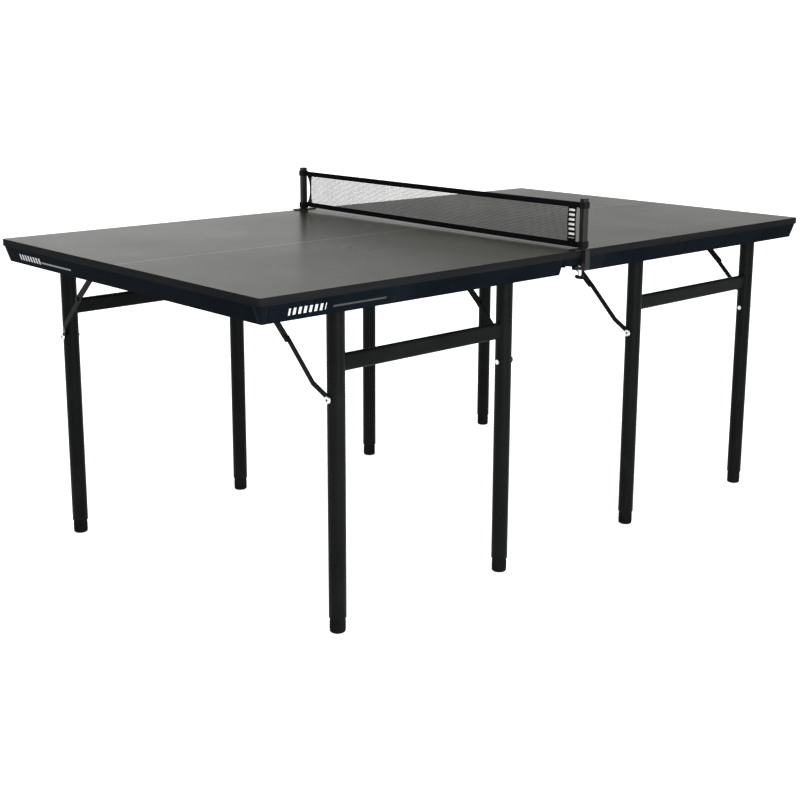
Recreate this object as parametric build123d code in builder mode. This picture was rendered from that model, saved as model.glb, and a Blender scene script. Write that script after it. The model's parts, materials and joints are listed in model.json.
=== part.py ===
from build123d import *
import math
import os

# Compact two-piece table tennis table, in millimetres. X runs along the table, Y across it, Z up.
# The origin is on the floor under the middle of the seam. The right half is the left half turned
# half a turn about Z, so only the left half is modelled and both are exported.

# Table top
LENGTH = 1830.0          # whole table, 72 in
WIDTH = 1029.0           # 40.5 in
TOP_Z = 750.0            # playing height, 29.5 in
BOARD_T = 16.0
BAND_T = 2.0             # edge band round each board
BAND_EDGE = 0.6          # bevel of its upper edge
SEAM = 0.25              # half of the gap between the two boards
CORNER_R = 10.0
UNDER_Z = TOP_Z - BOARD_T

# Slanted apron under each board
APRON_H = 37.0
APRON_IN = 0.6           # step from the board edge to the apron's top edge
APRON_SLANT = 12.4       # how far the bottom edge lies inside the top edge
APRON_T = 2.5
APRON_R = 4.0            # corner radius of its bottom edge
LIP_W = 12.0
LIP_T = 2.0
JOINT = 1.0              # open joint between the apron's pieces
CAP_L = 24.0             # outer corner caps, along each side
APRON_Z = UNDER_Z - APRON_H

# Seam corners. One corner of each half is cut away round a low block, the other has a full-height
# cap beside the clamp and a small seat under the board. Blocks and seats take the clamp's pad.
BLOCK_X = 64.0
BLOCK_Y = 42.0
BLOCK_H = 17.0
BLOCK_R = 4.0
BLOCK_TAPER = 4.0
SEAT_X = 14.0
SEAT_EDGE = 508.5        # |Y| of the seat's outer face, inside the slanted apron
FULL_CAP = (12.0, 84.0)  # |X| between which the full-height cap runs
SEAM_WALL_H = 30.0        # the apron's wall along the seam is lower
SEAM_PIN_Y = 300.0
SEAM_PIN_Z = UNDER_Z - 21.0
SEAM_PIN_R = 5.0
SEAM_PIN_HEAD_R = 8.0
SEAM_PIN_X = (-25.0, -22.0, 24.0)  # head, shoulder and tip

# Leg frames: X of the outer and inner leg of the near and the far frame of the left half
NEAR_X = (-677.0, -185.0)
FAR_X = (-783.0, -290.0)
LEG_Y = 444.0
LEG_R = 19.0
LEG_WALL = 1.5
PIVOT_Z = TOP_Z - 43.0
LEG_TOP = PIVOT_Z + 14.0
FOOT_R = 17.0
FOOT_H = 33.0
FOOT_BEVEL = 2.0
FOOT_PLUG = 14.0         # length of the foot's plug inside the tube
BAR_Z = 578.5
BAR_H = 37.0
BAR_T = 16.0
BAR_R = 7.0
BAR_WALL = 1.5
PIVOT_R = 5.0
PLAY = 0.05              # radial running clearance of every pin across a joint
GAP = 0.3                # clearance between faces that pass each other

# Leg brackets
EAR_GAP = 20.5           # leg centre to the inner face of each ear
EAR_T = 3.0
EAR_R = 13.0
BRACKET_X = 80.0
BRACKET_Y = 36.0
FLANGE_T = 3.0
PIN_HEAD_R = 8.0
PIN_HEAD_T = 3.0
SCREW_HEAD_R = 4.5
SCREW_HEAD_T = 2.5
SCREW_HEAD_TAPER = 25.0
BRACKET_SCREWS = (32.0, 11.0)

# Folding braces, on the side of each leg that faces away from the other leg of its frame.
# Distances called "out" are along X from the leg's centre towards that side.
BOLT_Z = 506.0
BOLT_R = 4.0
BOLT_HEAD_R = 8.5
BOLT_HEAD_T = 2.4
NUT_R = 5.5
NUT_T = 1.8
ANCHOR_Y = 226.0
ANCHOR_Z = TOP_Z - 39.0
LOWER_L = 158.2
UPPER_L = 141.15
LOWER_W = 11.5
UPPER_W = 16.0
EYE_R = 8.5
LINK_T = 3.0
LOWER_OUT = 19.5         # inner face of the lower link at the leg
STEP = (12.0, 45.0)      # start and end of its outward step, from the bolt
STEP_OUT = 13.0
UPPER_OUT = 36.0         # inner face of the upper link
RIVET_R = 6.0
RIVET_T = 2.0
ANCHOR_OUT = 40.5        # inner face of the anchor's ear
ANCHOR_EAR_R = 10.0
ANCHOR_FOOT = 22.0
ANCHOR_W = 34.0
ANCHOR_SCREW_OUT = 12.0
ANCHOR_SCREW_Y = 10.0
COLLAR_R = 6.5           # spacer between the upper link and the ear
ANCHOR_HEAD_R = 7.0
ANCHOR_HEAD_T = 2.5

# Net set
NET_TOP = TOP_Z + 108.5
NET_BOTTOM = TOP_Z + 6.0
PANEL_T = 1.0
TAPE_H = 12.5
TAPE_T = 3.0
BAND_INNER = -466.0      # Y of the wide end band's inner edge, at the near post
BAND_OUTER = -491.0
BAND_WAIST = 2.0         # how far its outer edge curves in
HEM_INNER = 476.0        # Y of the narrow hem's inner edge, at the far post
HEM_OUTER = 497.0
HEM_WAIST = 12.0
POST_X, POST_Y = 17.0, 14.0
POST_R = 2.5
POST_EDGE = 1.0
POST_AT = 513.5
POST_TOP = TOP_Z + 118.0
COLLAR_T = 2.0           # wall of the tape sleeves on the posts
CLAMP_OUT = 528.0
CLAMP_W = 16.0
CLAMP_BEVEL = (3.0, 4.0)  # lower and upper outer edge
CLAMP_ARM_T = 6.0
CLAMP_Z = TOP_Z - 46.0
ARM_IN = 8.0             # how far the arm runs past the screw
JAW_W = 68.0
JAW_L = 20.0
JAW_T = 3.0
JAW_IN = 14.0            # how far the jaw reaches over the board
EDGE_GAP = 2.0           # board edge to clamp
SCREW_AT = 506.0
SCREW_R = 4.5
SWIVEL_R = 2.5
SWIVEL_L = 1.6
PAD_R = 7.5
PAD_T = 4.0
PAD_BORE = 2.0
PAD_Z = UNDER_Z - BLOCK_H
WING_Z = CLAMP_Z - 14.0
HUB_R = 5.0
HUB_H = 7.0
WING_AT = 7.5
WING_SIZE = (5.0, 4.0)
WING_T = 4.0

os.makedirs("parts", exist_ok=True)


def save(shape, name):
    shape.label = name
    export_step(shape, f"parts/{name}.step")


def save_halves(shape, stem):
    """The left half's piece, and the same piece turned for the right half."""
    save(shape, f"{stem}_left")
    save(Rot(0, 0, 180) * shape, f"{stem}_right")


def save_frames(shape, stem, frame):
    """A piece of one left leg frame; the right half's opposite frame is the same piece turned."""
    other = "far" if frame == "near" else "near"
    save(shape, f"{stem}_left_{frame}")
    save(Rot(0, 0, 180) * shape, f"{stem}_right_{other}")


def box(x0, x1, y0, y1, z0, z1, mode=Mode.ADD):
    """A box between two corners, in the current part."""
    with Locations(((x0 + x1) / 2, (y0 + y1) / 2, (z0 + z1) / 2)):
        Box(x1 - x0, y1 - y0, z1 - z0, mode=mode)


def rod(x0, x1, y, z, r, taper=0):
    """A cylinder along X from x0 to x1, added to the current part."""
    way = math.copysign(1, x1 - x0)
    with BuildSketch(Plane((x0, y, z), x_dir=(0, 1, 0), z_dir=(way, 0, 0))) as disc:
        Circle(r)
    extrude(disc.sketch, amount=abs(x1 - x0), taper=taper)


# ---------------------------------------------------------------- boards
HALF_L = LENGTH / 2 - SEAM
HALF_X = -(LENGTH / 2 + SEAM) / 2
END_X = HALF_X - HALF_L / 2
EDGE_Y = WIDTH / 2
TAPER = math.degrees(math.atan2(APRON_SLANT, APRON_H))

with BuildPart() as board:
    with BuildSketch(Plane((HALF_X, 0, UNDER_Z))):
        RectangleRounded(HALF_L - 2 * BAND_T, WIDTH - 2 * BAND_T, CORNER_R - BAND_T)
    extrude(amount=BOARD_T)
save_halves(board.part, "board")

with BuildPart() as band:
    with BuildSketch(Plane((HALF_X, 0, UNDER_Z))):
        RectangleRounded(HALF_L, WIDTH, CORNER_R)
        RectangleRounded(HALF_L - 2 * BAND_T, WIDTH - 2 * BAND_T, CORNER_R - BAND_T, mode=Mode.SUBTRACT)
    extrude(amount=BOARD_T)
    chamfer(band.faces().sort_by(Axis.Z)[-1].outer_wire().edges(), BAND_EDGE)
save_halves(band.part, "edge_band")


# ---------------------------------------------------------------- apron
def frustum(inset, depth, mode):
    """The apron's slanted outline, moved in by inset and cut or added down to depth."""
    with BuildSketch(Plane((HALF_X, 0, UNDER_Z), x_dir=(1, 0, 0), z_dir=(0, 0, -1))) as outline:
        RectangleRounded(HALF_L - 2 * (APRON_IN + inset), WIDTH - 2 * (APRON_IN + inset),
                         APRON_R + APRON_SLANT - inset)
    extrude(outline.sketch, amount=depth, taper=TAPER, mode=mode)


def apron_ring():
    """The whole apron of the left half: slanted walls with a flat lip turned in at the bottom."""
    frustum(0, APRON_H, Mode.ADD)
    frustum(APRON_T, APRON_H - LIP_T, Mode.SUBTRACT)
    reach = APRON_IN + APRON_SLANT + LIP_W
    box(END_X + reach, -SEAM - reach, reach - EDGE_Y, EDGE_Y - reach,
        APRON_Z - LIP_T, APRON_Z + 2 * LIP_T, Mode.SUBTRACT)


def cut(x0, x1, y0, y1):
    """Takes everything between the given X and Y out of the current piece of apron."""
    box(x0, x1, y0, y1, APRON_Z - 1, UNDER_Z + 1, Mode.SUBTRACT)


SIDE_Y = EDGE_Y - CAP_L
SEAM_Y = EDGE_Y - BLOCK_Y - 2 * JOINT

with BuildPart() as sides:
    apron_ring()
    cut(END_X - 1, END_X + CAP_L + JOINT, -WIDTH, WIDTH)
    cut(-LENGTH, LENGTH, -SIDE_Y, SIDE_Y)
    cut(-BLOCK_X - 2 * JOINT, 1, -WIDTH, 0)
    cut(-FULL_CAP[1] - JOINT, 1, 0, WIDTH)
save_halves(sides.part, "apron_sides")

with BuildPart() as ends:
    apron_ring()
    cut(END_X + CAP_L, -CAP_L, -WIDTH, WIDTH)
    for y0, y1 in ((-WIDTH, -SIDE_Y), (SIDE_Y, WIDTH)):
        cut(-LENGTH, 1, y0, y1)
    for y0, y1 in ((-WIDTH, -SEAM_Y), (SEAM_Y, WIDTH)):
        cut(-CAP_L - 1, 1, y0, y1)
    box(-CAP_L - 2, 1, -WIDTH, WIDTH, APRON_Z - 1, UNDER_Z - SEAM_WALL_H, Mode.SUBTRACT)
    with BuildSketch(Plane.YZ.offset(-CAP_L)):
        with Locations((-SEAM_PIN_Y, SEAM_PIN_Z), (SEAM_PIN_Y, SEAM_PIN_Z)):
            Circle(SEAM_PIN_R + PLAY)
    extrude(amount=CAP_L, mode=Mode.SUBTRACT)
save_halves(ends.part, "apron_ends")

with BuildPart() as full_cap:
    apron_ring()
    cut(-LENGTH, -FULL_CAP[1], -WIDTH, WIDTH)
    cut(-FULL_CAP[0], 1, -WIDTH, WIDTH)
    cut(-LENGTH, 1, -WIDTH, SEAM_Y + JOINT)
    box(-SEAM - SEAT_X, -SEAM, SEAM_Y + JOINT, SEAT_EDGE, PAD_Z, UNDER_Z)

with BuildPart() as caps:
    apron_ring()
    cut(END_X + CAP_L, 1, -WIDTH, WIDTH)
    cut(-LENGTH, 1, -SIDE_Y, SIDE_Y)
    with BuildSketch(Plane((0, 0, UNDER_Z), x_dir=(1, 0, 0), z_dir=(0, 0, -1))):
        with Locations((-SEAM - BLOCK_X / 2, EDGE_Y - APRON_IN - BLOCK_Y / 2)):
            RectangleRounded(BLOCK_X, BLOCK_Y, BLOCK_R)
    extrude(amount=BLOCK_H, taper=BLOCK_TAPER)
    add(full_cap.part)
save_halves(caps.part, "corner_caps")

# ---------------------------------------------------------------- hardware under the boards
LEGS = [(x, side, out) for side, xs in ((-1, NEAR_X), (1, FAR_X)) for x, out in zip(xs, (-1, 1))]
PLATE_Z = UNDER_Z - FLANGE_T


def ear(x0, x1, y, z, radius, bore):
    """A rounded ear that hangs from its flange down to the pivot at y and z, between x0 and x1."""
    with BuildSketch(Plane.YZ.offset(min(x0, x1))) as outline:
        with Locations((y, z)):
            Circle(radius)
        with Locations((y, (z + PLATE_Z) / 2)):
            Rectangle(2 * radius, PLATE_Z - z)
        with Locations((y, z)):
            Circle(bore, mode=Mode.SUBTRACT)
    extrude(outline.sketch, amount=abs(x1 - x0))


with BuildPart() as brackets:
    for x, side, out in LEGS:
        y = side * LEG_Y
        box(x - BRACKET_X / 2, x + BRACKET_X / 2, y - BRACKET_Y / 2, y + BRACKET_Y / 2, PLATE_Z, UNDER_Z)
        for way in (-1, 1):
            ear(x + way * EAR_GAP, x + way * (EAR_GAP + EAR_T), y, PIVOT_Z, EAR_R, PIVOT_R)
save_halves(brackets.part, "leg_brackets")

with BuildPart() as anchors:
    for x, side, out in LEGS:
        y = side * ANCHOR_Y
        foot = sorted((x + out * ANCHOR_OUT, x + out * (ANCHOR_OUT + ANCHOR_FOOT)))
        box(*foot, y - ANCHOR_W / 2, y + ANCHOR_W / 2, PLATE_Z, UNDER_Z)
        ear(x + out * ANCHOR_OUT, x + out * (ANCHOR_OUT + EAR_T), y, ANCHOR_Z, ANCHOR_EAR_R, BOLT_R)
save_halves(anchors.part, "brace_anchors")

with BuildPart() as pins:
    for x, side, out in LEGS:
        edge = EAR_GAP + EAR_T
        rod(x - edge, x + edge, side * LEG_Y, PIVOT_Z, PIVOT_R)
        for way in (-1, 1):
            rod(x + way * edge, x + way * (edge + PIN_HEAD_T), side * LEG_Y, PIVOT_Z, PIN_HEAD_R)
        at = (side * ANCHOR_Y, ANCHOR_Z)
        outer = x + out * (ANCHOR_OUT + EAR_T)
        rod(x + out * (UPPER_OUT - GAP), outer, *at, BOLT_R)
        rod(x + out * (UPPER_OUT + LINK_T + GAP), x + out * ANCHOR_OUT, *at, COLLAR_R)
        rod(outer, outer + out * ANCHOR_HEAD_T, *at, ANCHOR_HEAD_R)
save_halves(pins.part, "pivot_pins")

with BuildPart() as screws:
    heads = []
    dx, dy = BRACKET_SCREWS
    for x, side, out in LEGS:
        heads += [(x + i * dx, side * LEG_Y + j * dy) for i in (-1, 1) for j in (-1, 1)]
        heads += [(x + out * (ANCHOR_OUT + ANCHOR_SCREW_OUT), side * ANCHOR_Y + j * ANCHOR_SCREW_Y)
                  for j in (-1, 1)]
    with BuildSketch(Plane((0, 0, PLATE_Z), x_dir=(1, 0, 0), z_dir=(0, 0, -1))):
        with Locations([(x, -y) for x, y in heads]):
            Circle(SCREW_HEAD_R)
    extrude(amount=SCREW_HEAD_T, taper=SCREW_HEAD_TAPER)
save_halves(screws.part, "screws")

with BuildPart() as seam_pins:
    head, shoulder, tip = SEAM_PIN_X
    for y in (-SEAM_PIN_Y, SEAM_PIN_Y):
        rod(shoulder, tip, y, SEAM_PIN_Z, SEAM_PIN_R)
        rod(shoulder, head, y, SEAM_PIN_Z, SEAM_PIN_HEAD_R)
save(seam_pins.part, "seam_pins")


# ---------------------------------------------------------------- leg frames
def knee(side):
    """The brace's middle pivot: LOWER_L from the leg bolt, UPPER_L from the anchor, on the leg's side."""
    dy, dz = ANCHOR_Y - LEG_Y, ANCHOR_Z - BOLT_Z
    span = math.hypot(dy, dz)
    along = (LOWER_L ** 2 - UPPER_L ** 2 + span ** 2) / (2 * span)
    off = math.sqrt(LOWER_L ** 2 - along ** 2)
    return side * (LEG_Y + (along * dy + off * dz) / span), BOLT_Z + (along * dz - off * dy) / span


def link(x, out, start, end, width, profile):
    """A brace link of the leg at x, bent to its side profile, with an eye for the pin at its start."""
    length = math.dist(start, end)
    uy, uz = (end[0] - start[0]) / length, (end[1] - start[1]) / length
    edge_on = Plane((x, *start), x_dir=(0, uy, uz), z_dir=(0, uz, -uy))
    flip = edge_on.y_dir.X * out
    with BuildPart() as bar:
        with BuildSketch(edge_on):
            Polygon(*[(u, s * flip) for u, s in profile(length)], align=None)
        extrude(amount=2 * EYE_R, both=True)
        with BuildSketch(Plane((x, *start), x_dir=(0, uy, uz), z_dir=(1, 0, 0))):
            with Locations((length / 2, 0)):
                SlotCenterToCenter(length, width)
            Circle(EYE_R)
            Circle(BOLT_R + PLAY, mode=Mode.SUBTRACT)
        extrude(amount=2 * UPPER_OUT, both=True, mode=Mode.INTERSECT)
    return bar.part


def lower_profile(length):
    """Flat on the leg at the bolt, then a step outwards to clear it."""
    start, end, (u0, u1) = -2 * EYE_R, length + 2 * EYE_R, STEP
    low, high = LOWER_OUT, LOWER_OUT + STEP_OUT
    ease = LINK_T * math.tan(math.atan2(STEP_OUT, u1 - u0) / 2)
    return [(start, low), (u0, low), (u1, high), (end, high), (end, high + LINK_T),
            (u1 - ease, high + LINK_T), (u0 - ease, low + LINK_T), (start, low + LINK_T)]


def upper_profile(length):
    start, end = -2 * EYE_R, length + 2 * EYE_R
    return [(start, UPPER_OUT), (end, UPPER_OUT), (end, UPPER_OUT + LINK_T), (start, UPPER_OUT + LINK_T)]


for frame, side, xs in (("near", -1, NEAR_X), ("far", 1, FAR_X)):
    y = side * LEG_Y
    bore_r = LEG_R - LEG_WALL
    with BuildPart() as legs:
        for x in xs:
            with BuildSketch(Plane((x, y, FOOT_H))):
                Circle(LEG_R)
                Circle(bore_r, mode=Mode.SUBTRACT)
            extrude(amount=LEG_TOP - FOOT_H)
        for z, r in ((PIVOT_Z, PIVOT_R + PLAY), (BOLT_Z, BOLT_R + PLAY)):
            with BuildSketch(Plane.YZ.offset(xs[0] - 2 * LEG_R)):
                with Locations((y, z)):
                    Circle(r)
            extrude(amount=xs[1] - xs[0] + 4 * LEG_R, mode=Mode.SUBTRACT)
    save_frames(legs.part, "legs", frame)

    with BuildPart() as bar:
        with BuildSketch(Plane.YZ.offset(xs[0])):
            with Locations((y, BAR_Z)):
                RectangleRounded(BAR_T, BAR_H, BAR_R)
                RectangleRounded(BAR_T - 2 * BAR_WALL, BAR_H - 2 * BAR_WALL, BAR_R - BAR_WALL,
                                 mode=Mode.SUBTRACT)
        extrude(amount=xs[1] - xs[0])
        for x in xs:
            with Locations((x, y, BAR_Z)):
                Cylinder(LEG_R, 2 * BAR_H, mode=Mode.SUBTRACT)
    save_frames(bar.part, "crossbar", frame)

    with BuildPart() as feet:
        for x in xs:
            with BuildSketch(Plane((x, y, 0), x_dir=(1, 0, 0), z_dir=(0, -1, 0))):
                Polygon((0, 0), (FOOT_R - FOOT_BEVEL, 0), (FOOT_R, FOOT_BEVEL), (FOOT_R, FOOT_H),
                        (bore_r, FOOT_H), (bore_r, FOOT_H + FOOT_PLUG), (0, FOOT_H + FOOT_PLUG), align=None)
            revolve(axis=Axis((x, y, 0), (0, 0, 1)))
    save_frames(feet.part, "feet", frame)

    with BuildPart() as bolts:
        for x, out in zip(xs, (-1, 1)):
            surface, seat = LEG_R + PLAY, LOWER_OUT + LINK_T + GAP
            rod(x - out * surface, x + out * seat, y, BOLT_Z, BOLT_R)
            rod(x - out * surface, x - out * (surface + NUT_T), y, BOLT_Z, NUT_R)
            rod(x + out * seat, x + out * (seat + BOLT_HEAD_T), y, BOLT_Z, BOLT_HEAD_R, taper=20)
    save_frames(bolts.part, "brace_bolts", frame)

    for place, x, out in zip(("outer", "inner"), xs, (-1, 1)):
        bend = knee(side)
        lower = link(x, out, (y, BOLT_Z), bend, LOWER_W, lower_profile)
        save_frames(lower, f"lower_link_{place}", frame)
        with BuildPart() as upper:
            add(link(x, out, (side * ANCHOR_Y, ANCHOR_Z), bend, UPPER_W, upper_profile))
            face = x + out * (UPPER_OUT + LINK_T)
            rod(face, face + out * RIVET_T, *bend, RIVET_R, taper=20)
        save_frames(upper.part, f"upper_link_{place}", frame)

# ---------------------------------------------------------------- net set
LOW, HIGH = NET_BOTTOM + TAPE_H, NET_TOP - TAPE_H

with BuildPart() as panel:
    box(-PANEL_T / 2, PANEL_T / 2, BAND_INNER, HEM_INNER, LOW, HIGH)
save(panel.part, "net_panel")

with BuildPart() as tapes:
    reach = POST_AT - POST_Y / 2 - COLLAR_T
    for z0, z1 in ((NET_BOTTOM, LOW), (HIGH, NET_TOP)):
        box(-TAPE_T / 2, TAPE_T / 2, -reach, reach, z0, z1)
    for inner, outer, waist in ((BAND_INNER, BAND_OUTER, BAND_OUTER + BAND_WAIST),
                                (HEM_INNER, HEM_OUTER, HEM_OUTER - HEM_WAIST)):
        with BuildSketch(Plane.YZ.offset(-TAPE_T / 2)):
            with BuildLine():
                Polyline((outer, LOW), (inner, LOW), (inner, HIGH), (outer, HIGH))
                ThreePointArc((outer, HIGH), (waist, (LOW + HIGH) / 2), (outer, LOW))
            make_face()
        extrude(amount=TAPE_T)
save(tapes.part, "net_tapes")

with BuildPart() as posts:
    for side in (-1, 1):
        with BuildSketch(Plane((0, side * POST_AT, TOP_Z + JAW_T))):
            RectangleRounded(POST_X, POST_Y, POST_R)
        extrude(amount=POST_TOP - TOP_Z - JAW_T)
    chamfer(posts.faces().sort_by(Axis.Z)[-2:].edges(), POST_EDGE)
save(posts.part, "net_posts")

with BuildPart() as collars:
    for side in (-1, 1):
        for z in (HIGH - 1, NET_BOTTOM - 1):
            with BuildSketch(Plane((0, side * POST_AT, z))):
                RectangleRounded(POST_X + 2 * COLLAR_T, POST_Y + 2 * COLLAR_T, POST_R + 1)
                RectangleRounded(POST_X, POST_Y, POST_R, mode=Mode.SUBTRACT)
            extrude(amount=TAPE_H + 2)
save(collars.part, "post_collars")

with BuildPart() as clamps:
    low_edge, high_edge = CLAMP_BEVEL
    arm_y, back_y, jaw_y = SCREW_AT - ARM_IN, EDGE_Y + EDGE_GAP, EDGE_Y - JAW_IN
    for side in (-1, 1):
        with BuildSketch(Plane.YZ.offset(-CLAMP_W / 2)):
            Polygon(*[(side * py, pz) for py, pz in (
                (arm_y, CLAMP_Z), (CLAMP_OUT - low_edge, CLAMP_Z), (CLAMP_OUT, CLAMP_Z + low_edge),
                (CLAMP_OUT, TOP_Z + JAW_T - high_edge), (CLAMP_OUT - high_edge, TOP_Z + JAW_T),
                (jaw_y, TOP_Z + JAW_T), (jaw_y, TOP_Z), (back_y, TOP_Z),
                (back_y, CLAMP_Z + CLAMP_ARM_T), (arm_y, CLAMP_Z + CLAMP_ARM_T))], align=None)
        extrude(amount=CLAMP_W)
        with Locations((0, side * (jaw_y + JAW_L / 2), TOP_Z + JAW_T / 2)):
            Box(JAW_W, JAW_L, JAW_T)
        with Locations((0, side * SCREW_AT, CLAMP_Z)):
            Cylinder(SCREW_R + PLAY, 4 * CLAMP_ARM_T, mode=Mode.SUBTRACT)
save(clamps.part, "net_clamps")

for name, side in (("near", -1), ("far", 1)):
    y = side * SCREW_AT
    pad_low = PAD_Z - PAD_T
    with BuildPart() as pad:
        with Locations((0, y, PAD_Z - PAD_T / 2)):
            Cylinder(PAD_R, PAD_T)
        with Locations((0, y, pad_low + PAD_BORE / 2)):
            Cylinder(SWIVEL_R + PLAY, PAD_BORE, mode=Mode.SUBTRACT)
    save(pad.part, f"clamp_pad_{name}")

    with BuildPart() as screw:
        for z0, z1, r in ((WING_Z, pad_low - GAP, SCREW_R), (pad_low - GAP, pad_low + SWIVEL_L, SWIVEL_R),
                          (WING_Z - HUB_H, WING_Z, HUB_R)):
            with Locations((0, y, (z0 + z1) / 2)):
                Cylinder(r, z1 - z0)
        with BuildSketch(Plane.YZ.offset(-WING_T / 2)):
            for way in (-1, 1):
                with Locations((y + way * WING_AT, WING_Z - HUB_H / 2)):
                    Ellipse(*WING_SIZE)
        extrude(amount=WING_T)
    save(screw.part, f"clamp_screw_{name}")
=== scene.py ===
import json
import math

import bpy
from mathutils import Matrix, Vector


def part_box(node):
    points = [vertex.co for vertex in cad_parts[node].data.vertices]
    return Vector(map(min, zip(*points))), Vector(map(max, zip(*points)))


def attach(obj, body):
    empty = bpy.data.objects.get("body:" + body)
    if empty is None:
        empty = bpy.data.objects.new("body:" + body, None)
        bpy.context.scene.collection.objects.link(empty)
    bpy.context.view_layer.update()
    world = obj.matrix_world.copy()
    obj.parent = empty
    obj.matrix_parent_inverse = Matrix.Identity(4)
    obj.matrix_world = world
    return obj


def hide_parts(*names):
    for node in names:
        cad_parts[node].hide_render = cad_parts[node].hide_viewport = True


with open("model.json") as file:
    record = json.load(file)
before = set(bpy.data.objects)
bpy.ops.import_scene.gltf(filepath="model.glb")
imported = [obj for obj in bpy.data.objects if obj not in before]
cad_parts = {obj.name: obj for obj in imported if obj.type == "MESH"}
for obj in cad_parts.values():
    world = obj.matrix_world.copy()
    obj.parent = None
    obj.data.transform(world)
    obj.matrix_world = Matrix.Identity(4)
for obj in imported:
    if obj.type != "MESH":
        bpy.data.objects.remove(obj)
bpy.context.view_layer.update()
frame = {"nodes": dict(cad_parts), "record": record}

SLOTS = {part["node"]: part["material_slot"] for part in frame["record"]["subparts"]}


# ---------------------------------------------------------------- camera, light and floor
def look(position, yaw, pitch, roll, focal, offset):
    """The camera. Its focal length and the shift of its principal point are shares of the picture's width."""
    data = bpy.data.cameras.new("camera")
    data.sensor_width = 36
    data.lens = 36 * focal
    data.shift_x, data.shift_y = offset
    data.clip_end = 100
    camera = bpy.data.objects.new("camera", data)
    bpy.context.scene.collection.objects.link(camera)
    turn = (Matrix.Rotation(-yaw, 4, "Z") @ Matrix.Rotation(math.pi / 2 - pitch, 4, "X")
            @ Matrix.Rotation(roll, 4, "Z"))
    camera.matrix_world = Matrix.Translation(position) @ turn
    bpy.context.scene.camera = camera


def softbox(name, position, target, size, power):
    """A square area light at position, facing target."""
    data = bpy.data.lights.new(name, "AREA")
    data.shape = "SQUARE"
    data.size = size
    data.energy = power
    light = bpy.data.objects.new(name, data)
    bpy.context.scene.collection.objects.link(light)
    light.location = position
    light.rotation_euler = (Vector(target) - Vector(position)).to_track_quat("-Z", "Y").to_euler()


WORLD_WHITE = 1.05           # a little over white, so that the floor and the world read as one
GLOW_WHITE = 1.7             # the world behind the table, seen again in the board's sheen
GLOW_TOWARDS = (0.26, 0.966, 0)
GLOW_EDGE, GLOW_CORE = 0.80, 0.97    # cosines of the angle from the glow's middle

look(position=(-2.3120, -2.4235, 1.1958), yaw=0.7514, pitch=0.2140, roll=0.0057,
     focal=1.63921, offset=(-0.01746, -0.08185))
bpy.context.scene.view_settings.view_transform = "Standard"

world = bpy.data.worlds.new("studio")
bpy.context.scene.world = world
world.use_nodes = True
sky = world.node_tree
direction = sky.nodes.new("ShaderNodeTexCoord").outputs["Generated"]
behind = sky.nodes.new("ShaderNodeVectorMath")
behind.operation = "DOT_PRODUCT"
behind.inputs[1].default_value = GLOW_TOWARDS
sky.links.new(direction, behind.inputs[0])
glow = sky.nodes.new("ShaderNodeMapRange")
for socket, value in (("From Min", GLOW_EDGE), ("From Max", GLOW_CORE),
                      ("To Min", WORLD_WHITE), ("To Max", GLOW_WHITE)):
    glow.inputs[socket].default_value = value
sky.links.new(behind.outputs["Value"], glow.inputs["Value"])
sky.links.new(glow.outputs[0], sky.nodes["Background"].inputs["Strength"])
sky.nodes["Background"].inputs["Color"].default_value = (1, 1, 1, 1)

softbox("key", position=(-0.9, -2.3, 1.0), target=(-0.5, 0, 0.7), size=1.6, power=50)


# ---------------------------------------------------------------- shader nodes
def new_material(name, colour, rough, **sockets):
    """A Principled material. Returns (material, node tree, shader node, object coordinates)."""
    made = bpy.data.materials.new(name)
    made.use_nodes = True
    tree = made.node_tree
    shader = tree.nodes["Principled BSDF"]
    shader.inputs["Base Color"].default_value = (*colour, 1)
    shader.inputs["Roughness"].default_value = rough
    for socket, value in sockets.items():
        shader.inputs[socket.replace("_", " ")].default_value = value
    made.diffuse_color = (*colour, 1)
    place = tree.nodes.new("ShaderNodeTexCoord").outputs["Object"]
    return made, tree, shader, place


def add(tree, kind, inputs=None, out=0, **settings):
    """Adds a node with those settings and inputs, linked or constant, and returns an output."""
    made = tree.nodes.new("ShaderNode" + kind)
    for key, value in settings.items():
        setattr(made, key, value)
    for key, value in (inputs or {}).items():
        if isinstance(value, bpy.types.NodeSocket):
            tree.links.new(value, made.inputs[key])
        else:
            made.inputs[key].default_value = value
    return made.outputs[out]


def noise(tree, place, scale, detail=3.0, stretch=(1, 1, 1), low=0.35, high=0.65):
    """Noise from 0 to 1 over the object, stretched along the axes."""
    if stretch != (1, 1, 1):
        place = add(tree, "Mapping", {"Vector": place, "Scale": stretch})
    raw = add(tree, "TexNoise", {"Vector": place, "Scale": scale, "Detail": detail, "Roughness": 0.55})
    return add(tree, "MapRange", {"Value": raw, "From Min": low, "From Max": high})


def maths(tree, operation, a, b=0.0, c=0.0):
    """A maths node on numbers or sockets."""
    return add(tree, "Math", {0: a, 1: b, 2: c}, operation=operation)


def span(tree, value, low, high):
    """1 where value lies between low and high."""
    return maths(tree, "COMPARE", value, (low + high) / 2, (high - low) / 2)


def both(tree, *masks):
    """The product of masks: 1 only where all of them are 1."""
    result = masks[0]
    for mask in masks[1:]:
        result = maths(tree, "MULTIPLY", result, mask)
    return result


def blend_colour(tree, share, a, b):
    """a where share is 0 and b where it is 1; each is a colour or a socket."""
    def full(colour):
        return colour if isinstance(colour, bpy.types.NodeSocket) else (*colour, 1)
    return add(tree, "Mix", {0: share, 6: full(a), 7: full(b)}, out=2, data_type="RGBA")


def between(tree, share, low, high):
    """low where share is 0 and high where it is 1."""
    return add(tree, "MapRange", {"Value": share, "To Min": low, "To Max": high})


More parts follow.
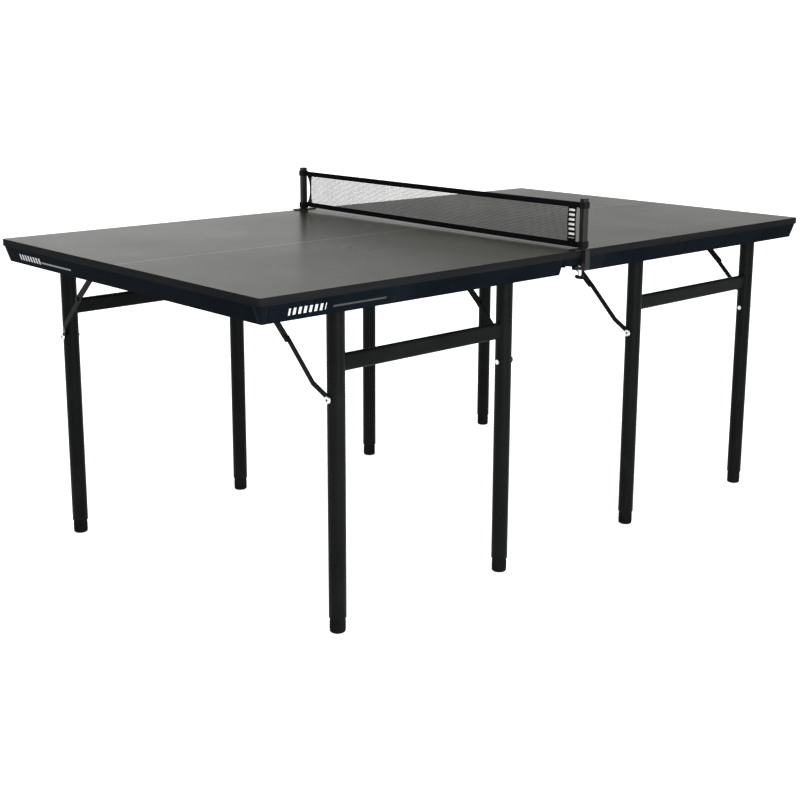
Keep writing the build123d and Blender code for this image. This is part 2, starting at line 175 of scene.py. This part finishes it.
def bumps(tree, shader, *layers):
    """Chains (height, depth in metres, strength) bumps into the shader's normal."""
    normal = None
    for height, depth, strength in layers:
        inputs = {"Height": height, "Distance": depth, "Strength": strength}
        if normal:
            inputs["Normal"] = normal
        normal = add(tree, "Bump", inputs)
    tree.links.new(normal, shader.inputs["Normal"])


def link(tree, socket, shader, name):
    tree.links.new(socket, shader.inputs[name])


def axes_of(tree, place):
    """The X, Y and Z of a place, as three sockets."""
    parts = tree.nodes.new("ShaderNodeSeparateXYZ")
    tree.links.new(place, parts.inputs[0])
    return tuple(parts.outputs)


def comb(tree, value, pitch, share):
    """Stripes across value, pitch apart; share of each pitch is 1 and the rest 0."""
    return maths(tree, "LESS_THAN", maths(tree, "FRACT", maths(tree, "DIVIDE", value, pitch)), share)


# ---------------------------------------------------------------- materials
BOARD_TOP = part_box("board_left")[1].z
LINE_HALF = 0.0015           # half the width of the line down the middle of the boards
LINE_WHITE = (0.19, 0.19, 0.18)
PRINT_WHITE = (0.60, 0.61, 0.60)
MATT = 0.01                  # specular level of the deep blacks
NAVY = ((0.0021, 0.0034, 0.0050), (0.0033, 0.0050, 0.0070))
CLOTH = ((0.0028, 0.0028, 0.0034), (0.0055, 0.0055, 0.0062))

# The left half's apron prints: the face's place across them, the bars' and the stripe's places along them,
# and the stripe's ink. The right half has the same ones, turned half round.
SIDE_PRINT = ((-0.53, -0.49), (-0.843, -0.752), (-0.734, -0.597), 0.06)
END_PRINT = ((-0.93, -0.88), (0.338, 0.435), (0.198, 0.333), 0.3)
BARS_Z, STRIPE_Z = (0.708, 0.722), (0.7105, 0.7145)
BAR_PITCH, BAR_SHARE, BAR_INK = 0.013, 0.5, 0.7
BAND_PRINT = ((-0.487, -0.470), (0.774, 0.843))      # Y and Z of the bars on the net's end band
BAND_BAR_PITCH, BAND_BAR_SHARE = 0.011, 0.48
THREAD_PITCH = 0.0007        # of the woven tapes


def board_paint():
    """Satin paint with a centre line on top, and raw fibreboard below."""
    made, tree, shader, place = new_material("board_paint", (0.018, 0.0175, 0.012), 0.3,
                                             Specular_IOR_Level=0.028)
    _, y, z = axes_of(tree, place)
    top = span(tree, z, BOARD_TOP - 0.0005, BOARD_TOP + 0.001)
    clouds = noise(tree, place, 3.0, 4)
    speckle = noise(tree, place, 900, 2)
    fibres = noise(tree, place, 260, 5, (1, 0.35, 1))
    line = both(tree, top, span(tree, y, -LINE_HALF, LINE_HALF))

    paint = blend_colour(tree, clouds, (0.0165, 0.0160, 0.0100), (0.0200, 0.0195, 0.0130))
    paint = blend_colour(tree, line, paint, LINE_WHITE)
    raw = blend_colour(tree, fibres, (0.018, 0.015, 0.012), (0.050, 0.040, 0.030))
    link(tree, blend_colour(tree, top, raw, paint), shader, "Base Color")
    rough = add(tree, "Mix", {0: top, 2: 0.85, 3: between(tree, clouds, 0.27, 0.31)}, data_type="FLOAT")
    link(tree, rough, shader, "Roughness")
    under = maths(tree, "SUBTRACT", 1.0, top)
    bumps(tree, shader, (speckle, 0.00003, 0.25), (line, 0.00005, 0.6),
          (both(tree, fibres, under), 0.0003, 0.8))
    return made


def edge_band():
    """Extruded edge band with faint drawing streaks along it."""
    made, tree, shader, place = new_material("edge_band", (0.008, 0.0084, 0.0094), 0.26,
                                             Specular_IOR_Level=0.004)
    streaks = noise(tree, place, 60, 4, (0.06, 0.06, 1))
    grain = noise(tree, place, 1400, 2)
    colour = blend_colour(tree, streaks, (0.0070, 0.0073, 0.0082), (0.0090, 0.0094, 0.0104))
    link(tree, colour, shader, "Base Color")
    link(tree, between(tree, streaks, 0.22, 0.30), shader, "Roughness")
    bumps(tree, shader, (grain, 0.00003, 0.3), (streaks, 0.0001, 0.15))
    return made


def powder_coat(name, dark, light, rough, peel=850, **sockets):
    """Powder-coated steel: orange peel, cloudy gloss and a few rubbed marks."""
    made, tree, shader, place = new_material(name, dark, rough, **sockets)
    skin = noise(tree, place, peel, 2)
    clouds = noise(tree, place, 9, 4)
    rubbed = noise(tree, place, 42, 6, (1, 1, 0.25), 0.62, 0.74)
    colour = blend_colour(tree, clouds, dark, light)
    colour = blend_colour(tree, maths(tree, "MULTIPLY", rubbed, 0.25), colour, tuple(3 * c for c in light))
    gloss = maths(tree, "ADD", between(tree, clouds, rough - 0.05, rough + 0.05),
                  maths(tree, "MULTIPLY", rubbed, 0.15))
    link(tree, colour, shader, "Base Color")
    link(tree, gloss, shader, "Roughness")
    bumps(tree, shader, (skin, 0.00008, 0.35))
    return made, tree, shader, place, colour


def apron_paint(turn):
    """Powder coat with plain printed bars and a plain stripe; turn is 1 on the left half, -1 on the right."""
    made, tree, shader, place, colour = powder_coat(f"apron_paint_{turn}", *NAVY, 0.42,
                                                    Specular_IOR_Level=0.002)
    x, y, z = axes_of(tree, add(tree, "Mapping", {"Vector": place, "Scale": (turn, turn, 1)}))
    prints = []
    for across, along, (face_at, bars_at, stripe_at, stripe_ink) in ((y, x, SIDE_PRINT), (x, y, END_PRINT)):
        bars = both(tree, span(tree, along, *bars_at), span(tree, z, *BARS_Z),
                    comb(tree, along, BAR_PITCH, BAR_SHARE))
        stripe = both(tree, span(tree, along, *stripe_at), span(tree, z, *STRIPE_Z))
        ink = maths(tree, "MAXIMUM", maths(tree, "MULTIPLY", bars, BAR_INK),
                    maths(tree, "MULTIPLY", stripe, stripe_ink))
        prints.append(both(tree, span(tree, across, *face_at), ink))
    mask = maths(tree, "MAXIMUM", *prints)
    chips = noise(tree, place, 500, 4, low=0.68, high=0.8)
    wear = maths(tree, "SUBTRACT", mask, maths(tree, "MULTIPLY", mask, chips))
    link(tree, blend_colour(tree, wear, colour, PRINT_WHITE), shader, "Base Color")
    return made


def moulded(name, dark, light, rough, grain=1100, depth=0.0001):
    """Moulded plastic or rubber with a fine matt grain and faint flow marks."""
    made, tree, shader, place = new_material(name, dark, rough, Specular_IOR_Level=MATT)
    pores = noise(tree, place, grain, 3)
    flow = noise(tree, place, 30, 4)
    link(tree, blend_colour(tree, flow, dark, light), shader, "Base Color")
    link(tree, between(tree, flow, rough - 0.07, rough + 0.07), shader, "Roughness")
    bumps(tree, shader, (pores, depth, 0.45))
    return made


def plated(name, dark, light, rough, grain):
    """Plated steel: bright metal with the plating's faint crystals, rolling lines and dull patches."""
    made, tree, shader, place = new_material(name, light, rough, Metallic=1.0)
    crystals = add(tree, "TexVoronoi", {"Vector": place, "Scale": grain})
    lines = noise(tree, place, 700, 3, (1, 0.05, 1))
    dull = noise(tree, place, 55, 5, low=0.55, high=0.75)
    colour = blend_colour(tree, crystals, light, dark)
    link(tree, blend_colour(tree, maths(tree, "MULTIPLY", dull, 0.5), colour, dark), shader, "Base Color")
    gloss = maths(tree, "ADD", between(tree, lines, rough - 0.06, rough + 0.06),
                  maths(tree, "MULTIPLY", dull, 0.18))
    link(tree, gloss, shader, "Roughness")
    bumps(tree, shader, (lines, 0.00004, 0.4))
    return made


def woven(name, dark, light, bars=None):
    """Woven polyester tape in the YZ plane; bars is ((y low, y high), (z low, z high)) of a plain print."""
    made, tree, shader, place = new_material(name, dark, 0.8, Specular_IOR_Level=MATT)
    _, y, z = axes_of(tree, place)
    warp = maths(tree, "SINE", maths(tree, "MULTIPLY", y, math.pi / THREAD_PITCH))
    weft = maths(tree, "SINE", maths(tree, "MULTIPLY", z, math.pi / THREAD_PITCH))
    weave = maths(tree, "MULTIPLY", warp, weft)
    lint = noise(tree, place, 420, 4)
    colour = blend_colour(tree, between(tree, weave, 0.3, 0.7), dark, light)
    colour = blend_colour(tree, maths(tree, "MULTIPLY", lint, 0.2), colour, tuple(2 * c for c in light))
    if bars:
        across, along = bars
        ink = both(tree, span(tree, y, *across), span(tree, z, *along),
                   comb(tree, z, BAND_BAR_PITCH, BAND_BAR_SHARE))
        ink = both(tree, ink, between(tree, noise(tree, place, 600, 3, low=0.3, high=0.5), 0.7, 1.0))
        colour = blend_colour(tree, ink, colour, PRINT_WHITE)
    link(tree, colour, shader, "Base Color")
    link(tree, between(tree, lint, 0.72, 0.88), shader, "Roughness")
    bumps(tree, shader, (between(tree, weave, 0.0, 1.0), 0.00025, 0.6), (lint, 0.0002, 0.3))
    return made


def thread(name, dark, light):
    """Twisted nylon thread."""
    made, tree, shader, place = new_material(name, dark, 0.6, Specular_IOR_Level=MATT)
    twist = add(tree, "TexWave", {"Vector": place, "Scale": 380.0, "Distortion": 1.5, "Detail": 2.0},
                bands_direction="DIAGONAL")
    fuzz = noise(tree, place, 700, 3)
    link(tree, blend_colour(tree, twist, dark, light), shader, "Base Color")
    link(tree, between(tree, fuzz, 0.5, 0.75), shader, "Roughness")
    bumps(tree, shader, (twist, 0.0001, 0.5))
    return made


made_materials = {
    "board_paint": board_paint(),
    "edge_band": edge_band(),
    "corner_plastic": moulded("corner_plastic", *NAVY, 0.45),
    "zinc_steel": plated("zinc_steel", (0.34, 0.35, 0.36), (0.52, 0.53, 0.54), 0.38, 160),
    "bolt_steel": plated("bolt_steel", (0.46, 0.46, 0.47), (0.70, 0.71, 0.72), 0.24, 420),
    "screw_zinc": plated("screw_zinc", (0.36, 0.37, 0.38), (0.58, 0.59, 0.59), 0.30, 300),
    "net_mesh": thread("net_mesh", (0.035, 0.035, 0.032), (0.060, 0.060, 0.055)),
    "net_tape": woven("net_tape", *CLOTH),
    "post_paint": powder_coat("post_paint", (0.0050, 0.0050, 0.0054), (0.0080, 0.0080, 0.0085), 0.36,
                              Specular_IOR_Level=0.15)[0],
    "leg_paint": powder_coat("leg_paint", (0.0028, 0.0033, 0.0033), (0.0045, 0.0052, 0.0052), 0.38,
                             Specular_IOR_Level=0.03)[0],
    "black_plastic": moulded("black_plastic", (0.005, 0.005, 0.0055), (0.008, 0.008, 0.0085), 0.45),
    "foot_plastic": moulded("foot_plastic", (0.004, 0.004, 0.004), (0.007, 0.007, 0.007), 0.55),
    "black_rubber": moulded("black_rubber", (0.008, 0.008, 0.008), (0.013, 0.013, 0.013), 0.75, 700, 0.0002),
}
aprons = {"left": apron_paint(1), "right": apron_paint(-1)}

for node, part in frame["nodes"].items():
    slot = SLOTS[node]
    paint = aprons[node.rpartition("_")[2]] if slot == "apron_paint" else made_materials[slot]
    for place in part.material_slots:
        place.link = "OBJECT"
        place.material = paint


# ---------------------------------------------------------------- mesh helpers
def piece(name, points, faces, body, slot, material=None, smooth=False):
    """A mesh piece in the row frame, riding on a body, with its slot's material."""
    mesh = bpy.data.meshes.new(name)
    mesh.from_pydata([tuple(p) for p in points], [], faces)
    mesh.update()
    if smooth:
        mesh.shade_smooth()
    made = bpy.data.objects.new(name, mesh)
    bpy.context.scene.collection.objects.link(made)
    mesh.materials.append(material or made_materials[slot])
    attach(made, body)
    return made


def loft(points, faces, rings, closed=False):
    """Adds a skin through rings of equal length, capped at both ends or closed on itself."""
    first, n, count = len(points), len(rings[0]), len(rings)
    for ring in rings:
        points.extend(Vector(p) for p in ring)
    for i in range(count if closed else count - 1):
        a, b = first + i * n, first + (i + 1) % count * n
        for k in range(n):
            faces.append((a + k, a + (k + 1) % n, b + (k + 1) % n, b + k))
    if not closed:
        faces.append(tuple(first + k for k in reversed(range(n))))
        faces.append(tuple(first + (count - 1) * n + k for k in range(n)))


def tube(points, faces, line, radius, sides=6, closed=False):
    """Adds a round strand along line; radius is a number or a function of the point's index."""
    line = [Vector(p) for p in line]
    count = len(line)
    rings = []
    for i, here in enumerate(line):
        after = line[(i + 1) % count] if closed or i + 1 < count else here
        before = line[i - 1] if closed or i else here
        ahead = (after - before).normalized()
        side = ahead.cross(Vector((1, 0, 0)))
        side = side.normalized() if side.length > 1e-6 else Vector((0, 1, 0))
        up = side.cross(ahead)
        r = radius(i) if callable(radius) else radius
        turns = [math.pi / sides + 2 * math.pi * k / sides for k in range(sides)]
        rings.append([here + r * (math.cos(a) * side + math.sin(a) * up) for a in turns])
    loft(points, faces, rings, closed)


def turned(points, faces, base, axis, profile, sides=24):
    """Adds a turned shape on base along axis, from a profile of (radius, height)."""
    axis = Vector(axis).normalized()
    across = axis.orthogonal().normalized()
    other = axis.cross(across)
    rings = []
    for radius, height in profile:
        turns = [2 * math.pi * k / sides for k in range(sides)]
        rings.append([Vector(base) + height * axis + radius * (math.cos(a) * across + math.sin(a) * other)
                      for a in turns])
    loft(points, faces, rings)


# ---------------------------------------------------------------- net
tape_low, tape_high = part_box("net_tapes")
panel_low, panel_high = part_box("net_panel")
BAND_IN, BAND_OUT = panel_low.y, panel_low.y - 0.025      # printed band at the near post
BAND_DRAW = 0.002
HEM_OUT, HEM_WIDTH, HEM_DRAW = 0.496, 0.006, 0.012        # narrow hem at the far post
GUSSET_WIDTH, GUSSET_HIGH = 0.014, 0.024
SAG = 0.0008                 # both tapes in the middle
LEAN = 0.0028                # lower tape: down at the near post, up at the far one
MESH_PITCH, THREAD_R = 0.0035, 0.00055
STITCHES, STITCH_PITCH, FIRST_STITCH = 238, 0.0042, -0.4995
STITCH = ((0.0011, -0.0014), (0.0017, 0), (0.0011, 0.0014))     # X and Y along one stitch, from its middle
STITCH_R = 0.0002
STITCH_OUT = 0.0022          # from the net's edge, onto the tape


def share_of(z):
    """How high z lies in the net, from 0 to 1."""
    return min(max((z - panel_low.z) / (panel_high.z - panel_low.z), 0.0), 1.0)


def drawn_in(z, depth):
    """How far a net end's edge draws in between its corners."""
    share = share_of(z)
    return depth * 4 * share * (1 - share)


def settle(y, z):
    """How the net hangs at rest: sagging in the middle, its lower edge leaning towards the near post."""
    along = y / tape_high.y
    return LEAN * along * (1 - share_of(z)) - SAG * (1 - along ** 2)


def net_lattice(bindings):
    """The net's mesh: leaning, slightly wavy threads between the tapes."""
    points, faces = [], []
    low, high = panel_low.z - 0.003, panel_high.z + 0.003
    middle = (low + high) / 2
    rows = round((high - low) / MESH_PITCH)
    start, stop = BAND_OUT + 0.003, HEM_OUT - 0.002
    columns = round((stop - start) / MESH_PITCH)

    def sway(y, z):
        belly = math.sin(math.pi * (z - low) / (high - low))
        return Vector((
            0.0008 * belly * math.sin(9 * y + 1) + 0.0003 * math.sin(61 * y + 17 * z),
            y + 0.0011 * belly * math.sin(23 * y + 3 * z),
            z + 0.0006 * math.sin(31 * y) * belly + settle(y, z)))

    def far_edge(z):
        return HEM_OUT - 0.003 - drawn_in(z, HEM_DRAW)

    for c in range(columns + 1):
        y = start + (stop - start) * c / columns
        runs = [[low + (high - low) * k / rows for k in range(rows + 1)]]
        if y > far_edge(middle):
            outside = [z for z in runs[0] if y < far_edge(z)]
            runs = [[z for z in outside if z < middle], [z for z in outside if z > middle]]
        for run in runs:
            if len(run) > 1:
                tube(points, faces, [sway(y, z) for z in run], THREAD_R, 4)
    for k in range(rows + 1):
        z = low + (high - low) * k / rows
        reach = far_edge(z) - start
        line = [sway(start + reach * 2 * j / columns, z) for j in range(columns // 2 + 1)]
        tube(points, faces, line, THREAD_R, 4)
    made = piece("net_lattice", points, faces, "half_left", "net_mesh")
    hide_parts("net_panel")


def folded_tape(name, z_open, z_fold):
    """A tape folded over the net's edge round its cord, open at z_open and puckered by its stitches."""
    toward = 1 if z_fold > z_open else -1
    length = tape_high.y
    width = abs(z_fold - z_open)
    profile = [(0.0013, 0.0), (0.0012, 0.30), (0.00105, 0.48), (0.00145, 0.62),
               (0.0015, 0.78), (0.00125, 0.91), (0.0006, 0.985)]
    outer = [(x, h * width) for x, h in profile] + [(-x, h * width) for x, h in reversed(profile)]
    inner = [(x * 0.62, min(h, 0.93 * width)) for x, h in outer]
    ring = outer + list(reversed(inner))
    points, faces, rings = [], [], []
    steps = 260
    for i in range(steps + 1):
        y = -length + 2 * length * i / steps
        pucker = 1 + 0.06 * math.sin(y * 900) * math.sin(y * 37)
        drift = 0.00025 * math.sin(13 * y + z_fold * 50)
        lift = 0.4 * drift * math.sin(5 * y) + settle(y, z_fold)
        rings.append([(x * pucker + drift * 0.5, y, z_open + toward * h + lift) for x, h in ring])
    loft(points, faces, rings)
    made = piece(name, points, faces, "half_left", "net_tape", smooth=True)
    return made


def end_binding(name, inner, outer, thick, material=None):
    """A net end's binding between two edges, each a function of height; y runs from inner to outer."""
    steps = 32
    low, high = panel_low.z - 0.001, panel_high.z + 0.001
    rings = []
    for i in range(steps + 1):
        z = low + (high - low) * i / steps
        a, b, half = inner(z), outer(z), thick / 2
        wave = 0.0004 * math.sin(9 * i / steps + a)
        edge = [(a, half * 0.6), (a + 0.04 * (b - a), half), ((a + b) / 2, half * 0.94),
                (b - 0.05 * (b - a), half), (b, half * 0.5)]
        ring = [(wave + x, y, z + settle(y, z)) for y, x in edge]
        ring += [(wave - x, y, z + settle(y, z)) for y, x in reversed(edge)]
        rings.append(ring if b > a else list(reversed(ring)))
    points, faces = [], []
    loft(points, faces, rings)
    return piece(name, points, faces, "half_left", "net_tape", material, smooth=True)


def hem_inner(z):
    """The far hem's inner edge, which widens into a small gusset at each corner."""
    from_corner = min(abs(z - panel_low.z), abs(panel_high.z - z))
    widen = max(0.0, 1 - from_corner / GUSSET_HIGH) ** 1.3
    return HEM_OUT - drawn_in(z, HEM_DRAW) - HEM_WIDTH - GUSSET_WIDTH * widen


def tape_stitches():
    """Running stitches that close both tapes near their open edges, on both sides."""
    points, faces = [], []
    for z in (panel_high.z + STITCH_OUT, panel_low.z - STITCH_OUT):
        for side in (-1, 1):
            for i in range(STITCHES):
                y = FIRST_STITCH + STITCH_PITCH * i
                middle = z + settle(y, z)
                line = [(side * x, y + along, middle) for x, along in STITCH]
                tube(points, faces, line, STITCH_R, 4)
    piece("net_tape_stitches", points, faces, "half_left", "net_tape")


printed_tape = woven("net_tape_print", *CLOTH, bars=BAND_PRINT)
top = folded_tape("net_tape_top", panel_high.z - 0.0005, tape_high.z)
folded_tape("net_tape_bottom", panel_low.z + 0.0005, tape_low.z)
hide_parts("net_tapes")
net_lattice([
    end_binding("net_end_band", lambda z: BAND_IN, lambda z: BAND_OUT + drawn_in(z, BAND_DRAW), 0.0024,
                printed_tape),
    end_binding("net_end_hem", hem_inner, lambda z: HEM_OUT - drawn_in(z, HEM_DRAW), 0.0020)])
tape_stitches()


# ---------------------------------------------------------------- small hardware
CORNERS = ((-1, -1), (1, -1), (1, 1), (-1, 1))
BAR_CORNER = 0.007           # radius of the crossbars' edges
WELD_R, WELD_RIPPLE = 0.0015, 0.0003
FOOT_STEP = 0.002            # from a leg's side in to its foot's
RIB_Z = (0.009, 0.015, 0.021)
RIB = ((-0.001, -0.001), (0.0006, -0.0006), (0.0006, 0.0006), (-0.001, 0.001))  # from the foot's side
KNEE_R = 0.008               # half the width of an upper link
RIVET_T = 0.002              # head of the plain rivet under the domed one
RIVET_DOME = ((0.0065, 0.0001), (0.0065, 0.0009), (0.0061, 0.0019), (0.0048, 0.0027), (0.0030, 0.0031),
              (0.0010, 0.0032))
# SOCKET shapes a dark disc over each bolt's head: painted shade for its hexagon socket.
SOCKET = ((0.0030, -0.0004), (0.0030, 0.00008), (0.0026, 0.0001))    # radius and height over a bolt's head
SCREW_X, SCREW_Y = 0.032, 0.011      # bracket screws, from the leg's axis
# The dark crosses on the screw heads are painted shade for their recesses.
CROSS = (0.0020, 0.0005)     # half the length and half the width of an arm of a screw's recess
CROSS_Z = (-0.00008, 0.0005)         # its ends, from the lowest face of the screws
KNOB_UP = 0.0035             # middle of a grip, over the lowest point of its clamp screw
KNOB_SIDES = 28
KNOB_ROUND = (0.0053, 0.0045)        # half the length and half the height of a rounded end
KNOB_END = 0.005             # from the wing's tip in to the middle of the rounding
KNOB_SLICES = ((-0.0027, 0.9), (-0.0022, 1.0), (0.0022, 1.0), (0.0027, 0.9))    # X and size of its section
KNOB_HUB = ((0.0050, -0.0039), (0.0054, -0.0034), (0.0054, 0.0034), (0.0050, 0.0038))


def weld_beads(frame_name, half):
    """Rippled weld beads where the crossbar meets its two legs."""
    bar_low, bar_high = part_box(f"crossbar_{half}_{frame_name}")
    legs_low, legs_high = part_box(f"legs_{half}_{frame_name}")
    y0, z0 = (bar_low.y + bar_high.y) / 2, (bar_low.z + bar_high.z) / 2
    half_y, half_z = (bar_high.y - bar_low.y) / 2, (bar_high.z - bar_low.z) / 2
    leg_r = (legs_high.y - legs_low.y) / 2
    points, faces = [], []
    for leg_x, way in ((legs_low.x + leg_r, 1), (legs_high.x - leg_r, -1)):
        line = []
        for quarter, (sy, sz) in enumerate(((1, 1), (-1, 1), (-1, -1), (1, -1))):
            for k in range(13):
                a = math.pi / 2 * (quarter + k / 12)
                y = sy * (half_y - BAR_CORNER) + BAR_CORNER * math.cos(a)
                z = sz * (half_z - BAR_CORNER) + BAR_CORNER * math.sin(a)
                line.append((leg_x + way * math.sqrt(leg_r ** 2 - y ** 2), y0 + y, z0 + z))
        tube(points, faces, line, lambda i: WELD_R + WELD_RIPPLE * math.sin(2.4 * i), 8, closed=True)
    piece(f"weld_beads_{half}_{frame_name}", points, faces, f"frame_{half}_{frame_name}", "leg_paint",
          smooth=True)


def foot_ribs(frame_name, half):
    """Grip ribs round the feet."""
    low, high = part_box(f"feet_{half}_{frame_name}")
    legs_low, legs_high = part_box(f"legs_{half}_{frame_name}")
    leg_r = (legs_high.y - legs_low.y) / 2
    foot_r = leg_r - FOOT_STEP
    y = (low.y + high.y) / 2
    points, faces = [], []
    for x in (legs_low.x + leg_r, legs_high.x - leg_r):
        for z in RIB_Z:
            turned(points, faces, (x, y, z), (0, 0, 1), [(foot_r + grow, h) for grow, h in RIB], 40)
    piece(f"foot_ribs_{half}_{frame_name}", points, faces, f"frame_{half}_{frame_name}", "foot_plastic")


def bolt_socket_shades(frame_name, half):
    """Dark hexagon discs on the brace bolts' heads: painted shade standing in for their hexagon sockets."""
    low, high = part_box(f"brace_bolts_{half}_{frame_name}")
    y, z = (low.y + high.y) / 2, (low.z + high.z) / 2
    points, faces = [], []
    for x, way in ((low.x, -1), (high.x, 1)):
        turned(points, faces, (x, y, z), (way, 0, 0), SOCKET, 6)
    # A disc of the black leg paint on each plated head: painted shade where the socket's hollow would be.
    piece(f"painted_socket_shade_{half}_{frame_name}", points, faces, f"frame_{half}_{frame_name}", "leg_paint")


def knee_rivet(place, frame_name, half):
    """A domed rivet head over the knee of a brace, painted with it."""
    node = f"upper_link_{place}_{half}_{frame_name}"
    low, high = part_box(node)
    out = 1 if (place == "inner") == (half == "left") else -1
    face = (high.x if out > 0 else low.x) - out * RIVET_T
    y = low.y + KNEE_R if frame_name == "near" else high.y - KNEE_R
    points, faces = [], []
    turned(points, faces, (face, y, low.z + KNEE_R), (out, 0, 0), RIVET_DOME)
    piece(f"knee_rivet_{place}_{half}_{frame_name}", points, faces, node, "leg_paint", smooth=True)


def screw_recess_shades(half):
    """Dark crosses on the screw heads under a half: painted shade standing in for their cross recesses."""
    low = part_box(f"screws_{half}")[0]
    points, faces = [], []
    for name in ("near", "far"):
        legs_low, legs_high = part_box(f"legs_{half}_{name}")
        y, leg_r = (legs_low.y + legs_high.y) / 2, (legs_high.y - legs_low.y) / 2
        for x in (legs_low.x + leg_r, legs_high.x - leg_r):
            for dx in (-SCREW_X, SCREW_X):
                for dy in (-SCREW_Y, SCREW_Y):
                    for along, across in (CROSS, CROSS[::-1]):
                        loft(points, faces, [[(x + dx + i * along, y + dy + j * across, low.z + dz)
                                              for i, j in CORNERS] for dz in CROSS_Z])
    # Crosses of the black leg paint on the screw heads: painted shade for the recesses.
    piece(f"screw_recess_shades_{half}", points, faces, f"half_{half}", "leg_paint")


def wing_knob(name):
    """A black moulded grip over a clamp screw's wing and hub."""
    low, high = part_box(f"clamp_screw_{name}")
    y, z = (low.y + high.y) / 2, low.z + KNOB_UP
    reach = (high.y - low.y) / 2
    outline = []
    for k in range(KNOB_SIDES):
        a = 2 * math.pi * (k + 0.5) / KNOB_SIDES
        along = math.copysign(reach - KNOB_END, math.cos(a)) + KNOB_ROUND[0] * math.cos(a)
        outline.append((y + along, z + KNOB_ROUND[1] * math.sin(a)))
    points, faces, rings = [], [], []
    for x, grow in KNOB_SLICES:
        rings.append([(x, y + grow * (py - y), z + grow * (pz - z)) for py, pz in outline])
    loft(points, faces, rings)
    turned(points, faces, (0, y, z), (0, 0, 1), KNOB_HUB)
    piece(f"wing_knob_{name}", points, faces, f"clamp_screw_{name}", "black_plastic")


for name in ("near", "far"):
    wing_knob(name)
for half in ("left", "right"):
    screw_recess_shades(half)
    for frame_name in ("near", "far"):
        weld_beads(frame_name, half)
        foot_ribs(frame_name, half)
        bolt_socket_shades(frame_name, half)
        for place in ("outer", "inner"):
            knee_rivet(place, frame_name, half)

# ---------------------------------------------------------------- floor
FLOOR_HALF = 30
FLOOR_DROP = 0.0005          # keeps it clear of the feet's undersides

floor_mesh = bpy.data.meshes.new("floor")
floor_mesh.from_pydata([(FLOOR_HALF * i, FLOOR_HALF * j, 0) for i, j in CORNERS], [], [(0, 1, 2, 3)])
floor = bpy.data.objects.new("floor", floor_mesh)
bpy.context.scene.collection.objects.link(floor)
floor.location.z = -FLOOR_DROP
made, tree, shader, place = new_material("pale_floor", (0.86, 0.86, 0.86), 0.9, Emission_Strength=0.7)
shader.inputs["Emission Color"].default_value = (1, 1, 1, 1)
mottle = blend_colour(tree, noise(tree, place, 1.5, 3), (0.87, 0.87, 0.87), (0.89, 0.89, 0.89))
link(tree, mottle, shader, "Base Color")
floor_mesh.materials.append(made)
